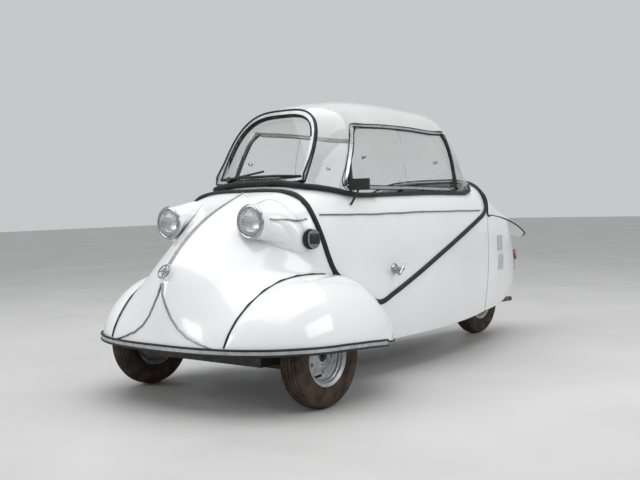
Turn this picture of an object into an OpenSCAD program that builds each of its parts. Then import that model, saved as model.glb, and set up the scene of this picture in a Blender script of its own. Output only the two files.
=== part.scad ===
// Bubble car: a three-wheeled cabin scooter with two seats in tandem,
// a side-hinged canopy with a clear dome, and a rear engine.
// Millimetres. Z is up, the nose points along -Y, the car's left is +X.

/* [Body] */

// Overall length over the front rub strip and the tail fin
body_length = 2820; // [2780:10:2860]
// Overall width over the front fenders
body_width = 1220; // [1212:2:1240]
// Overall height over the dome
body_height = 1245; // [1225:5:1265]
// Thickness of the painted panels
panel = 3.5; // [3:0.5:4.5]
// Gap between the canopy and the body around it
seam = 8; // [7:0.5:10]

/* [Wheels] */

// Distance between the front and rear axles
wheelbase = 2030; // [2010:5:2040]
// Distance between the centres of the front tyres
track = 964; // [948:4:968]
// Outer radius of the tyres
tyre_radius = 197; // [190:1:199]
// Width of the tyres
tyre_width = 98; // [90:1:100]
// Radius of the rims
rim_radius = 105; // [100:1:110]

/* [Canopy] */

// Thickness of the clear dome
dome_wall = 4; // [3:0.5:5]
// Width of the rubber seal around the dome
seal_width = 18; // [14:1:22]
// Width of the side window frames
window_frame = 16; // [12:1:20]

/* [Fittings] */

// Outer radius of the headlamp rims
lamp_radius = 68; // [60:1:70]
// Width of the handlebar
bar_width = 460; // [420:10:480]
// Width of the front seat cushion
front_seat_width = 470; // [440:10:500]
// Width of the rear seat cushion
rear_seat_width = 480; // [450:10:510]
// Length of the engine block
engine_length = 270; // [240:5:275]

/* [View] */

// Sub-part to show, or all

/* [Hidden] */

kx = body_width / 1220;
ky = body_length / 2820;
kz = body_height / 1245;
// the front axle's place along the car
axle_y = -body_length / 2 + 388 * ky;
rear_y = wheelbase;
half_track = track / 2;
pin_x = half_track - 62;
hub_z = tyre_radius;

// ---- smooth tables: rows of [key, values...]
function span(T, k, i = 0) =
  (i >= len(T) - 2 || k < T[i + 1][0]) ? i : span(T, k, i + 1);
function row(T, k) =
  let (i = span(T, k), a = max(i - 1, 0), b = min(i + 2, len(T) - 1),
       h = T[i + 1][0] - T[i][0], t = (k - T[i][0]) / h,
       m = (T[i + 1] - T[a]) * (h / (T[i + 1][0] - T[a][0])),
       n = (T[b] - T[i]) * (h / (T[b][0] - T[i][0])))
  (2*t*t*t - 3*t*t + 1) * T[i] + (t*t*t - 2*t*t + t) * m
  + (3*t*t - 2*t*t*t) * T[i + 1] + (t*t*t - t*t) * n;
function mix(a, b, t) = a + (b - a) * t;
// straight runs between the rows of a table
function run(T, k) =
  let (i = span(T, k), t = (k - T[i][0]) / (T[i + 1][0] - T[i][0]))
  mix(T[i], T[i + 1], t);
function scaled(p) = [p[0] * kx, p[1] * ky, p[2] * kz];
function mirrored(G) = [for (r = G) [for (p = r) [-p[0], p[1], p[2]]]];

// ---- a sheet of metal over a grid of points; open cells are left out
function unit(v) = v / max(norm(v), 0.000001);
function face_normal(G, i, j, ring) =
  let (n = len(G), m = len(G[0]),
       a = ring ? G[(i + 1) % n][j] : G[min(i + 1, n - 1)][j],
       b = ring ? G[(i + n - 1) % n][j] : G[max(i - 1, 0)][j],
       c = G[i][min(j + 1, m - 1)], d = G[i][max(j - 1, 0)])
  unit(cross(a - b, c - d));
module sheet(G, t, ring = false, open = [], flip = false) {
  n = len(G);
  m = len(G[0]);
  s = flip ? -1 : 1;
  c = ring ? n : n - 1;
  top = [for (r = G) for (p = r) p];
  low = [for (i = [0:n - 1]) for (j = [0:m - 1])
    G[i][j] - face_normal(G, i, j, ring) * (s * t)];
  function on(i, j) =
    j >= 0 && j < m - 1 && (ring || (i >= 0 && i < c))
    && len([for (o = open) if ((i + n) % n >= o[0] && (i + n) % n < o[1]
      && j >= o[2] && j < o[3]) 1]) == 0;
  function at(i, j) = (i % n) * m + j;
  h = n * m;
  quads = [for (i = [0:c - 1]) for (j = [0:m - 2]) if (on(i, j))
    let (a = at(i, j), b = at(i + 1, j), d = at(i + 1, j + 1),
         e = at(i, j + 1))
    each [[a, b, d, e], [h + e, h + d, h + b, h + a],
      if (!on(i, j - 1)) [a, h + a, h + b, b],
      if (!on(i, j + 1)) [d, h + d, h + e, e],
      if (!on(i - 1, j)) [e, h + e, h + a, a],
      if (!on(i + 1, j)) [b, h + b, h + d, d]]];
  used = [for (q = quads) s > 0 ? [q[3], q[2], q[1], q[0]] : q];
  polyhedron(concat(top, low), [for (q = used)
    each [[q[0], q[1], q[2]], [q[0], q[2], q[3]]]]);
}

// ---- a strip swept along a path: width along the surface, height off it
module strip(P, N, w, lo, hi, ring = false) {
  n = len(P);
  pts = [for (i = [0:n - 1])
    let (a = ring ? P[(i + n - 1) % n] : P[max(i - 1, 0)],
         b = ring ? P[(i + 1) % n] : P[min(i + 1, n - 1)],
         t = unit(b - a), s = unit(cross(N[i], t)), u = cross(t, s))
    each [P[i] + s * w / 2 + u * lo, P[i] + s * w / 2 + u * hi,
      P[i] - s * w / 2 + u * hi, P[i] - s * w / 2 + u * lo]];
  f = [for (i = [0:(ring ? n - 1 : n - 2)]) for (k = [0:3])
    let (a = i * 4 + k, b = i * 4 + (k + 1) % 4, e = (i + 1) % n,
         c = e * 4 + (k + 1) % 4, d = e * 4 + k)
    each [[a, c, b], [a, d, c]]];
  ends = ring ? [] : [[0, 1, 2], [0, 2, 3],
    [4*n - 4, 4*n - 2, 4*n - 3], [4*n - 4, 4*n - 1, 4*n - 2]];
  polyhedron(pts, concat(f, ends));
}

// ---- round bars
module bar(a, b, r) {
  d = b - a;
  l = norm(d);
  translate(a) rotate([0, acos(d[2] / l), atan2(d[1], d[0])])
    cylinder(h = l, r = r, $fn = 24);
}
module barrel(a, b, r1, r2) {
  d = b - a;
  l = norm(d);
  translate(a) rotate([0, acos(d[2] / l), atan2(d[1], d[0])])
    cylinder(h = l, r1 = r1, r2 = r2, $fn = 24);
}
module both() {
  children();
  mirror([1, 0, 0]) children();
}

// ---- body sections: y, half width, its height, top, bottom,
// half width at the bottom, squareness of the shoulders
body = [
  [ 100, 376, 450, 822, 168, 344, 4.8],
  [ 150, 380, 452, 838, 168, 345, 4.3],
  [ 240, 385, 458, 862, 167, 346, 3.9],
  [ 420, 391, 470, 890, 166, 348, 3.8],
  [ 700, 393, 480, 902, 165, 350, 3.8],
  [1030, 386, 485, 902, 165, 346, 4.0],
  [1250, 367, 488, 895, 167, 330, 4.3],
  [1440, 341, 490, 888, 172, 308, 4.5],
  [1640, 307, 490, 872, 182, 276, 4.4],
  [1760, 283, 490, 850, 192, 256, 4.0]];
// angle round the section, 0 on top, 90 at the widest, 180 at the bottom
function skin(y, a) =
  let (r = row(body, y), e = 2 / r[6], q = min(abs(a), 90),
       g = a < 0 ? -1 : 1, k = max(abs(a) - 90, 0) / 90)
  [g * (k > 0 ? r[1] - (r[1] - r[5]) * pow(k, 1.8)
        : r[1] * pow(sin(q), e)), y,
   k > 0 ? r[2] - (r[2] - r[4]) * k
         : r[2] + (r[3] - r[2]) * pow(cos(q), e)];
function angle_at(y, z) =
  let (r = row(body, y))
  z >= r[2] ? acos(pow(min(1, (z - r[2]) / (r[3] - r[2])), r[6] / 2))
            : 90 + 90 * (r[2] - z) / (r[2] - r[4]);
function angle_of(y, x) =
  let (r = row(body, y)) asin(pow(min(1, abs(x) / r[1]), r[6] / 2));
function half(y, z) = skin(y, angle_at(y, z))[0];

// ---- seam of the canopy down the left side: share, y, z
seam_left = [[0, 128, 805], [0.07, 127, 772], [0.14, 130, 736],
  [0.22, 145, 683], [0.30, 168, 622], [0.38, 196, 553],
  [0.46, 236, 490], [0.52, 300, 448], [0.58, 379, 413],
  [0.64, 450, 378], [0.70, 540, 344], [0.74, 600, 360],
  [0.78, 720, 404], [0.82, 880, 464], [0.86, 1040, 524],
  [0.90, 1240, 592], [0.94, 1430, 650], [0.97, 1560, 690],
  [1, 1632, 730]];
kink_y = 236;
kink_z = 490;

// ---- dome sections: share, base y, half base, base z, crown y, crown z,
// squareness
glass = [
  [ 0, 222, 243, 872,  392, 1181, 3.3],
  [ 1, 310, 300, 845,  470, 1214, 3.0],
  [ 2, 420, 331, 822,  610, 1238, 2.8],
  [ 3, 620, 338, 815,  760, 1246, 2.8],
  [ 4, 900, 339, 812,  930, 1244, 2.8],
  [ 5,1160, 331, 806, 1100, 1236, 2.8],
  [ 6,1355, 314, 802, 1265, 1222, 3.1],
  [ 7,1420, 300, 812, 1355, 1184, 2.5],
  [ 8,1440, 290, 826, 1455, 1080, 2.0],
  [ 9,1452, 284, 838, 1578,  885, 2.3]];
// v runs along the car, a runs from -90 at the right base to 90 at the left
function bubble(v, a) =
  let (r = row(glass, v), e = 2 / r[6], q = min(90, abs(a)),
       g = a < 0 ? -1 : 1,
       h = pow(cos(q), e))
  [g * r[2] * pow(sin(q), e), r[1] + (r[4] - r[1]) * h,
   r[3] + (r[5] - r[3]) * h];

// ---- lower edge of the fenders, from the nose to the body's side
edge_height = [[-390, 249], [-200, 249], [0, 243], [165, 233],
  [300, 220], [414, 206], [540, 196]];
start_angle = 26;
function edge(q, out = 0) =
  let (e = 2 / 2.6, g = 2 / 2.4, a = min(q, 90), b = max(q - 90, 0),
       x = q <= 90 ? (604 + out) * pow(sin(a), e)
                   : 356 + (248 + out) * pow(cos(b), g),
       y = q <= 90 ? 60 - (441 + out) * pow(cos(a), e)
                   : 60 + 462 * pow(sin(b), g))
  [x, y, row(edge_height, y)[1]];

// seam between the nose and the fenders: share, x, y, z
valley = [[0, 316, -346, 256], [0.08, 320, -322, 308],
  [0.16, 325, -284, 356], [0.27, 335, -226, 409],
  [0.39, 345, -150, 455], [0.51, 353, -65, 484], [0.63, 361, 22, 496],
  [0.75, 370, 101, 497], [0.87, 379, 170, 493], [1, 385, 228, 490]];
// the fender's inner edge goes on along the foot of the canopy's side
foot = [[0, 236, 490], [0.25, 300, 448], [0.5, 379, 413],
  [0.7, 450, 378], [1, 540, 340]];
function inner_edge(s) = s < 0.62
  ? let (r = row(valley, s / 0.62)) [r[1] + 2.4 - 1.9 * s, r[2], r[3] - 0.6]
  : let (r = run(foot, (s - 0.62) / 0.38))
    [half(r[1], r[2]) + 1.5 + 4 * pow(s, 9), r[1],
     r[2] - 6 * min(1, (s - 0.62) * 12)];
// how far the fender's top swells above its seam
fender_lift = [[0, 0], [0.3, 14], [0.52, 6], [0.68, -40], [0.85, -76],
  [1, -60]];
fender_cols = 26;
fender_rows = 11;
function bend(a, b, c, d, t) =
  let (u = 1 - t) a*u*u*u + b*3*u*u*t + c*3*u*t*t + d*t*t*t;
function fender_point(u, w) =
  let (q = start_angle + (180 - start_angle) * u,
       E = edge(q), S = inner_edge(pow(u, 0.92)),
       H = S[2] - E[2], f = row([[0, 0.4], [0.2, 0.42], [0.45, 0.56],
         [0.7, 0.56], [1, 0.45]], u)[1],
       P = [E, E + [0, 0, H * f * 1.02],
         S + [E[0] - S[0], E[1] - S[1], 0] * f
           + [0, 0, row(fender_lift, u)[1]], S],
       B = bend(P[0], P[1], P[2], P[3], w),
       L = mix(edge(180), inner_edge(1), w),
       X = [half(L[1], L[2]) + 5.5, L[1], L[2]])
  u > 0.985 ? X : B;
fender_grid = [for (i = [0:fender_cols]) [for (j = [0:fender_rows])
  scaled(fender_point(i / fender_cols, j / fender_rows))]];

// ---- nose: ridge down the middle, share, y, z
ridge = [[0, -381, 249], [0.1, -378, 330], [0.2, -368, 420],
  [0.32, -335, 520], [0.45, -262, 612], [0.58, -165, 692],
  [0.7, -75, 745], [0.82, 10, 783], [0.92, 70, 807], [1, 120, 827]];
// directions of the skin at the ridge and at the side, and their reach
sweep_out = [[0, 1, 0, 0, -0.965, -0.26, 0, 0.33],
  [0.2, 0.97, 0.2, -0.05, -0.7, -0.7, 0.1, 0.36],
  [0.45, 0.93, 0.33, -0.12, -0.2, -0.95, 0.2, 0.4],
  [0.62, 0.94, 0.3, -0.08, -0.05, -0.92, 0.4, 0.42],
  [0.8, 0.97, 0.22, 0, -0.05, -0.88, 0.45, 0.4],
  [1, 1, 0, 0, -0.8, 0, 0.6, 0.33]];
// side of the nose: the valley, then up the front of the canopy
function nose_side(v) = v < 0.6
  ? let (r = row(valley, v / 0.6)) [r[1], r[2], max(r[3], 250)]
  : let (r = run(seam_left, 0.46 * (1 - v) / 0.4), y = r[1] - seam)
    [half(y, r[2]), y, r[2]];
function nose_top(u) =
  let (c = nose_side(1), x = c[0] * u, y = mix(120, c[1], u),
       p = skin(y, angle_of(y, x))) [x, y, mix(p[2], c[2], pow(u, 8))];
function nose_foot(u) =
  let (q = asin(pow(316 * u / 604, 1.3))) edge(q);
function nose_point(u, v) =
  let (r = row(ridge, v), s = row(sweep_out, v), C = [0, r[1], r[2]],
       D = nose_side(v), l = norm(D - C) * s[7],
       B = bend(C, C + unit([s[1], s[2], s[3]]) * l,
         D + unit([s[4], s[5], s[6]]) * l, D, u),
       t = bend([0, 120, 827], [0, 120, 827] + [1, 0, 0]
         * norm(nose_side(1) - [0, 120, 827]) * 0.33,
         nose_side(1) + unit([-0.8, 0, 0.6])
         * norm(nose_side(1) - [0, 120, 827]) * 0.33, nose_side(1), u),
       f = bend([0, -381, 249], [0, -381, 249] + [1, 0, 0]
         * norm(nose_side(0) - [0, -381, 249]) * 0.33,
         nose_side(0) + unit([-0.965, -0.26, 0])
         * norm(nose_side(0) - [0, -381, 249]) * 0.33, nose_side(0), u))
  B + (nose_top(u) - t) * pow(v, 5) + (nose_foot(u) - f) * pow(1 - v, 8);
nose_cols = 13;
nose_rows = 24;
nose_grid = [for (i = [-nose_cols:nose_cols]) [for (j = [0:nose_rows])
  let (p = nose_point(abs(i) / nose_cols, j / nose_rows))
  scaled([i < 0 ? -p[0] : p[0], p[1], p[2]])]];

// ---- sides of the tub below the canopy
tub_end = 1642;
belt = 730;
front_of_right = [[160, 262], [440, 262], [500, 236 - 3], [553, 203],
  [622, 179], [683, 157], [736, 138]];
left_top = [[262, 469], [300, 443], [379, 408], [450, 373], [540, 334],
  [600, 352], [720, 396], [880, 456], [1040, 516], [1240, 584],
  [1430, 642], [1560, 681], [1642, 716]];
tub_cols = 22;
tub_rows = 8;
function tub_y(i) = i <= 5 ? mix(262, 540, i / 5)
  : mix(540, tub_end, (i - 5) / (tub_cols - 5));
left_grid = [for (i = [0:tub_cols]) [for (j = [0:tub_rows])
  let (y = tub_y(i), b = row(body, y)[4], t = run(left_top, y)[1],
       z = mix(b, t, j / tub_rows)) scaled([half(y, z), y, z])]];
right_grid = [for (i = [0:tub_cols]) [for (j = [0:tub_rows + 2])
  let (z0 = mix(170, belt, j / (tub_rows + 2)),
       y = mix(run(front_of_right, z0)[1], tub_end, i / tub_cols),
       z = mix(row(body, y)[4], belt, j / (tub_rows + 2)))
  scaled([-half(y, z), y, z])]];

// ---- canopy skin: a ring between the dome's foot and the seam
canopy_back = 1632;
// pairs: dome foot as [y, x], outer edge as [y, z]
pairs_left = [
  [[ 214, 130], [ 128, 0, 140]], [[ 213, 230], [ 128, 0, 245]],
  [[ 222, 250], [ 128, 805]], [[ 240, 262], [ 127, 772]],
  [[ 262, 274], [ 130, 736]], [[ 288, 288], [ 145, 683]],
  [[ 318, 301], [ 168, 622]], [[ 350, 314], [ 196, 553]],
  [[ 385, 326], [ 236, 490]], [[ 450, 338], [ 300, 448]],
  [[ 510, 341], [ 379, 413]], [[ 570, 343], [ 450, 378]],
  [[ 640, 344], [ 540, 344]], [[ 710, 345], [ 630, 371]],
  [[ 800, 345], [ 760, 419]], [[ 890, 345], [ 880, 464]],
  [[ 990, 343], [1010, 513]], [[1090, 340], [1140, 558]],
  [[1190, 335], [1270, 601]], [[1280, 328], [1390, 638]],
  [[1360, 320], [1500, 671]], [[1410, 312], [1580, 697]],
  [[1445, 302], [1622, 726]], [[1475, 286], [1632, 765]],
  [[1503, 262], [1632, 800]], [[1530, 228], [1632, 828]],
  [[1562, 180], [1632, 0, 205]], [[1583, 110], [1632, 0, 130]]];
pairs_right = [
  [[ 214, 130], [ 128, 0, 140]], [[ 213, 230], [ 128, 0, 245]],
  [[ 222, 250], [ 129, 805]], [[ 240, 262], [ 133, 772]],
  [[ 275, 281], [ 143, 738]], [[ 340, 310], [ 230, 738]],
  [[ 400, 330], [ 330, 738]], [[ 470, 340], [ 430, 738]],
  [[ 570, 343], [ 560, 738]], [[ 680, 344], [ 680, 738]],
  [[ 800, 345], [ 810, 738]], [[ 930, 344], [ 950, 738]],
  [[1060, 341], [1090, 738]], [[1180, 336], [1220, 738]],
  [[1290, 327], [1350, 738]], [[1380, 317], [1480, 738]],
  [[1430, 307], [1570, 738]], [[1460, 295], [1625, 745]],
  [[1480, 283], [1632, 772]], [[1506, 260], [1632, 802]],
  [[1532, 226], [1632, 828]],
  [[1562, 180], [1632, 0, 205]], [[1583, 110], [1632, 0, 130]]];
ring_rows = 7;
function ring_line(p, g) =
  let (i = p[0], o = p[1], a = angle_of(i[0], i[1] + 1),
       b = len(o) > 2 ? angle_of(o[0], o[2]) : angle_at(o[0], o[1]))
  [for (k = [0:ring_rows]) let (t = k / ring_rows,
    s = skin(mix(i[0], o[0], t), mix(a, b, t))) scaled([g * s[0], s[1], s[2]])];
function middle_line(y0, y1) =
  [for (k = [0:ring_rows]) scaled(skin(mix(y0, y1, k / ring_rows), 0))];
function backwards(L) = [for (i = [len(L) - 1:-1:0]) L[i]];
canopy_grid = concat([middle_line(214, 128)],
  [for (p = pairs_left) ring_line(p, 1)],
  [middle_line(1591, canopy_back)],
  backwards([for (p = pairs_right) ring_line(p, -1)]));

// ---- dome grid
dome_steps = 3;
dome_cols = [-90, -83, -76, -69, -62, -55, -46, -36, -25, -12, 0,
  12, 25, 36, 46, 55, 62, 69, 76, 83, 90];
dome_grid = [for (i = [0:9 * dome_steps]) [for (a = dome_cols)
  scaled(bubble(i / dome_steps, a))]];
// window openings on both flanks
window_start = 5;
window_stop = 17;
window_cells = [[window_start, window_stop, 0, 5],
  [window_start, window_stop, 15, 20]];

// ---- tail
tail_front = 1650;
function tail_plan(z, q) =
  let (w = half(1650, min(z, 800)), yc = 1150, n = 2.15,
       ye = row([[180, 2230], [240, 2290], [300, 2335], [385, 2345],
         [480, 2325], [560, 2300], [620, 2280], [720, 2270]], z)[1],
       b = ye - yc, f = pow((tail_front - yc) / b, n / 2),
       k = w / pow(1 - pow(f, 2), 1 / n), q0 = asin(f),
       a = mix(q0, 90, q))
  [k * pow(cos(a), 2 / n), yc + b * pow(sin(a), 2 / n), z];
tail_edges = [[0, 184, 691], [0.15, 190, 675], [0.3, 206, 657],
  [0.45, 236, 633], [0.6, 268, 603], [0.8, 300, 569], [1, 312, 555]];
tail_cols = 14;
tail_rows = 9;
tail_grid = [for (i = [-tail_cols:tail_cols]) [for (j = [0:tail_rows])
  let (q = 1 - abs(i) / tail_cols, e = row(tail_edges, q),
       p = tail_plan(mix(e[1], e[2], j / tail_rows), q))
  scaled([i < 0 ? -p[0] : p[0], p[1], p[2]])]];
deck = [[1650, 304, 692, 866, 3.2], [1800, 266, 680, 800, 2.7],
  [1950, 226, 668, 738, 2.4], [2100, 194, 648, 690, 2.2],
  [2250, 170, 612, 638, 2.1], [2350, 156, 578, 594, 2],
  [2405, 134, 556, 564, 2], [2432, 96, 547, 551, 2]];
deck_rows = 16;
deck_grid = [for (i = [0:deck_rows]) [for (a = [-90:10:90])
  let (t = i / deck_rows, y = mix(tail_front, 2432, 1 - pow(1 - t, 1.3)),
       r = row(deck, y), e = 2 / r[4], g = a < 0 ? -1 : 1)
  scaled([g * r[1] * pow(sin(abs(a)), e), y,
    r[2] + (r[3] - r[2]) * pow(cos(a), e)])]];

module car() translate([0, axle_y, 0]) children();
module panel_white() color("#eef0f2") car() children();

// ---- body panels and lamps
module floor_pan() color("#3a3d40") car() difference() {
  scale([kx, ky, kz]) translate([0, 0, 165]) linear_extrude(3.5)
    polygon(concat([for (s = [1, -1]) [-s * 334, -170]],
      [[334, -170], [334, 258], [row(body, 262)[5] - 4.5, 258]],
      [for (i = [0:17]) [row(body, tub_y(i))[5] - 4.4, tub_y(i)]],
      [[row(body, 1490)[5] - 4.4, 1494], [-row(body, 1490)[5] + 4.4, 1494]],
      [for (i = [17:-1:0]) [-row(body, tub_y(i))[5] + 4.4, tub_y(i)]],
      [[-row(body, 262)[5] + 4.5, 258], [-334, 258]]));
  bar([0, 40, 150] - shaft * 20, [0, 40, 150] + shaft * 70, 15);
}
module side_panels() panel_white() {
  sheet(left_grid, panel);
  sheet(right_grid, panel, flip = true);
}
module footwell() car() scale([kx, ky, kz]) {
  for (s = [0, 1]) mirror([s, 0, 0]) {
    translate([334.5, 0, 0]) rotate([90, 0, 90]) linear_extrude(3)
      polygon([[-170, 169], [261, 169], [261, 462], [0, 462],
        [-100, 428], [-170, 400]]);
    translate([0, 261, 0]) rotate([90, 0, 0]) linear_extrude(3)
      polygon([[334.5, 169], [340, 169], [half(262, 250) - 0.5, 250],
        [half(262, 350) - 0.5, 350], [half(262, 395) - 0.5, 395],
        [334.5, 402]]);
  }
  translate([-336, -173, 169]) cube([672, 3, 232]);
}
module rear_bulkhead() car() {
  zs = [170, 230, 330, 430, 530, 600, 650];
  scale([kx, ky, kz]) {
    translate([0, 1498, 0]) rotate([90, 0, 0]) linear_extrude(3)
      polygon(concat([for (z = zs) [half(1498, z) - 4.8, z]],
        [[half(1498, 700) - 30, 700], [200, 770], [-200, 770],
         [-half(1498, 700) + 30, 700]],
        [for (i = [len(zs) - 1:-1:0]) [-half(1498, zs[i]) + 4.8, zs[i]]]));
    translate([-200, 1498, 766]) cube([400, 90, 3]);
  }
  for (s = [-1, 1]) {
    bar([s * 90, 1583, 762 * kz], [s * 90, tail_axis[1] - 2, tail_axis[2]], 6);
    translate([s * 90, tail_axis[1], tail_axis[2]]) rotate([0, 90, 0])
      cylinder(h = 24, r = 6, center = true, $fn = 24);
  }
}
module inner_panels() color("#3a3d40") {
  footwell();
  rear_bulkhead();
}
module nose() panel_white() sheet(nose_grid, panel);
module fenders() panel_white() {
  sheet(fender_grid, panel);
  sheet(mirrored(fender_grid), panel, flip = true);
}
bumper_path = concat([for (q = [116:-7:4]) edge(q)], [edge(0)],
  [for (q = [4:7:116]) let (p = edge(q)) [-p[0], p[1], p[2]]]);
module bumper() color("#c9ccd0") car() {
  P = [for (p = bumper_path) scaled(p) - [0, 0, 4]];
  n = len(P);
  N = [for (i = [0:n - 1]) let (t = P[min(i + 1, n - 1)] - P[max(i - 1, 0)])
    unit([t[1], -t[0], 0] * -1)];
  strip(P, N, 22, 1.3, 7);
}
// headlamps: a pod rises out of the nose and ends in a round rim
lamp = [232 * kx, -92 * ky, 710 * kz];
pod_steps = 28;
function pod_foot(a, g) =
  let (c = cos(a), s = sin(a), u = 0.54 + (c > 0 ? 0.26 : 0.24) * g * c,
       v = 0.69 + (s > 0 ? 0.2 : 0.1) * g * s)
  scaled(nose_point(u, v));
function pod_lift(a, g) =
  let (e = 0.02, n = unit(cross(pod_foot(a + 4, g) - pod_foot(a - 4, g),
    pod_foot(a, g + e) - pod_foot(a, g - e)))) n[1] > 0 ? -n : n;
function pod_ring(a) =
  let (r = lamp_radius, e = pod_lift(a, 1), f = pod_foot(a, 1) + e * 1.5,
       o = [cos(a), 0, sin(a)], q = lamp + o * r,
       k = norm(f - q), d = unit(f - (lamp + o * r * 0.6)))
  concat([lamp + o * (r - 7)],
    [for (t = [0:0.2:1])
      bend(q, q + [0, k * 0.5, 0], f - d * k * 0.25 + e * k * 0.16, f, t)],
    [for (g = [0.85, 0.7]) pod_foot(a, g) + pod_lift(a, g) * 6]);
module pod() {
  R = [for (i = [0:pod_steps - 1]) pod_ring(i * 360 / pod_steps)];
  m = len(R[0]);
  polyhedron([for (r = R) each r],
    [for (i = [0:pod_steps - 1]) for (j = [0:m - 1])
      let (i2 = (i + 1) % pod_steps, j2 = (j + 1) % m, a = i * m + j,
           b = i2 * m + j, c = i2 * m + j2, d = i * m + j2)
      each [[a, b, c], [a, c, d]]]);
}
module headlamp_shells() panel_white() both() pod();
module headlamp_rims() color("#c9ccd0") car() both()
  translate(lamp + [0, -0.6, 0]) rotate([90, 0, 0]) rotate_extrude($fn = 96)
    polygon([[lamp_radius - 12, 0], [lamp_radius, 0],
      [lamp_radius + 1, 4], [lamp_radius - 2, 9], [lamp_radius - 8, 12],
      [lamp_radius - 12, 10]]);
module headlamp_lenses() color("#e8edf2") car() both()
  translate(lamp + [0, -2, 0]) rotate([90, 0, 0]) rotate_extrude($fn = 96)
    polygon([[0, 2], [lamp_radius - 12.5, 2], [lamp_radius - 12.5, 9],
      [lamp_radius - 26, 14], [lamp_radius - 45, 17.5], [0, 19]]);
module side_lamps() color("#d8dadd") car() both()
  translate([374 * kx, 104 * ky, 636 * kz]) rotate([0, 90, -14]) hull() {
    translate([8, 0, 0]) cylinder(h = 12, r = 30, $fn = 32);
    translate([-8, 0, 0]) cylinder(h = 12, r = 30, $fn = 32);
  }
// the way the tail faces at a height and share round it
function tail_out(z, q) = unit(cross(
  scaled(tail_plan(z, q + 0.01)) - scaled(tail_plan(z, q - 0.01)),
  scaled(tail_plan(z - 2, q)) - scaled(tail_plan(z + 2, q))));
module on_tail(z, q, s) mirror([s > 0 ? 0 : 1, 0, 0]) {
  n = -tail_out(z, q);
  translate(scaled(tail_plan(z, q)) + n * 0.4)
    rotate([0, -asin(n[2]), atan2(n[1], n[0])]) children();
}
module rear_lamps() color("#a01818") car() for (s = [-1, 1])
  on_tail(440, 0.72, s) rotate([0, 90, 0])
    cylinder(h = 16, r = 28, $fn = 48);
module number_plate() color("#d8d8d4") car()
  translate([-90 * kx, 2346.3 * ky, 350 * kz]) cube([180 * kx, 2, 110]);

// ---- front axle, steering and wheels
shaft = [0, 0.5736, 0.8192];
column_foot = [0, 40, 150];
arm = 70;
rod_z = 150;
module front_axle() color("#26282a") car() {
  bar([-pin_x, 0, 141], [pin_x, 0, 141], 12);
  both() {
    translate([pin_x, 0, 127]) cylinder(h = 29, r = 17, $fn = 32);
    translate([pin_x, 0, 127]) cylinder(h = 135, r = 9, $fn = 32);
    translate([pin_x, 0, 256]) cylinder(h = 8, r = 13, $fn = 32);
    translate([190, -22, 140]) cube([50, 44, 24.6]);
  }
}
module knuckle() {
  difference() {
    union() {
      translate([pin_x, 0, 156.6]) cylinder(h = 98, r = 16, $fn = 32);
      bar([pin_x + 10, 0, hub_z], [half_track + 26, 0, hub_z], 10);
      translate([pin_x + 19, 0, hub_z]) rotate([0, 90, 0])
        cylinder(h = 5, r = 70, $fn = 64);
      translate([pin_x - 10, 0, 157]) cube([20, arm, 12]);
      translate([pin_x, arm, 150]) cylinder(h = 19, r = 10, $fn = 32);
    }
    translate([pin_x, 0, 150]) cylinder(h = 120, r = 9.3, $fn = 32);
  }
  translate([pin_x, arm, 132]) cylinder(h = 19, r = 5, $fn = 24);
}
module knuckle_left() color("#303234") car() knuckle();
module knuckle_right() color("#303234") car() mirror([1, 0, 0]) knuckle();
module track_rod() {
  difference() {
    union() {
      bar([30, arm + 40, 140], [pin_x, arm, 140], 5.5);
      translate([pin_x, arm, 133]) cylinder(h = 14, r = 11, $fn = 32);
    }
    translate([pin_x, arm, 130]) cylinder(h = 20, r = 5.3, $fn = 24);
  }
}
module track_rod_left() color("#8b8f94") car() track_rod();
module track_rod_right() color("#8b8f94") car() mirror([1, 0, 0]) track_rod();
module steering_column() color("#26282a") car() difference() {
  union() {
    bar(column_foot + shaft * 42, column_foot + shaft * 560, 17);
    translate([-30, 84, 168.6 * kz]) cube([60, 70, 24]);
  }
  bar(column_foot, column_foot + shaft * 600, 10.4);
}
bar_hub = column_foot + shaft * 585;
module steering_bar() color("#1d1f21") car() {
  bar(column_foot - shaft * 6, bar_hub, 9.8);
  bar(bar_hub - shaft * 18, bar_hub + shaft * 16, 30);
  both() {
    bar(bar_hub, bar_hub + [bar_width * 0.3, 20, 26], 9);
    bar(bar_hub + [bar_width * 0.3, 20, 26],
      bar_hub + [bar_width * 0.5, 60, 30], 14);
  }
  bar(column_foot - shaft * 4, [0, arm + 36, 141], 9);
}
tyre_mid = (tyre_radius + rim_radius + 0.6) / 2;
tyre_half = (tyre_radius - rim_radius - 0.6) / 2;
function tyre_side(a, w, h) = [tyre_mid + h * (sin(a) < 0 ? -1 : 1)
  * pow(abs(sin(a)), 0.87), (cos(a) < 0 ? -1 : 1) * w
  * pow(abs(cos(a)), 0.87)];
bead = rim_radius + 0.4;
module tyre() rotate([0, 90, 0]) rotate_extrude($fn = 96)
  polygon(concat([[bead, 23], [bead, 33], [bead + 8.6, 33]],
    [for (k = [0:18]) tyre_side(mix(-47, 227, k / 18), tyre_width / 2,
      tyre_half)],
    [[bead + 8.6, -33], [bead, -33], [bead, -23]],
    [for (k = [0:12]) tyre_side(mix(238, -58, k / 12), tyre_width / 2 - 9,
      tyre_half - 9)]));
module rim(bore = 10.4) rotate([0, 90, 0]) rotate_extrude($fn = 96)
  polygon([[bore, -20], [28, -20], [28, 6], [rim_radius - 8, 0],
    [rim_radius - 8, -30], [rim_radius - 2, -36], [rim_radius + 8, -37.5],
    [rim_radius + 8, -34.5], [rim_radius, -33], [rim_radius, 33],
    [rim_radius + 8, 34.5], [rim_radius + 8, 37.5], [rim_radius - 2, 36],
    [rim_radius - 8, 30], [rim_radius - 8, 6], [28, 12], [28, 22],
    [bore, 22]]);
module wheel_place(s) car()
  translate([s * half_track, 0, hub_z]) rotate([0, 0, s > 0 ? 0 : 180])
    children();
module tyre_left() color("#2a2724") wheel_place(1) tyre();
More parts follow.
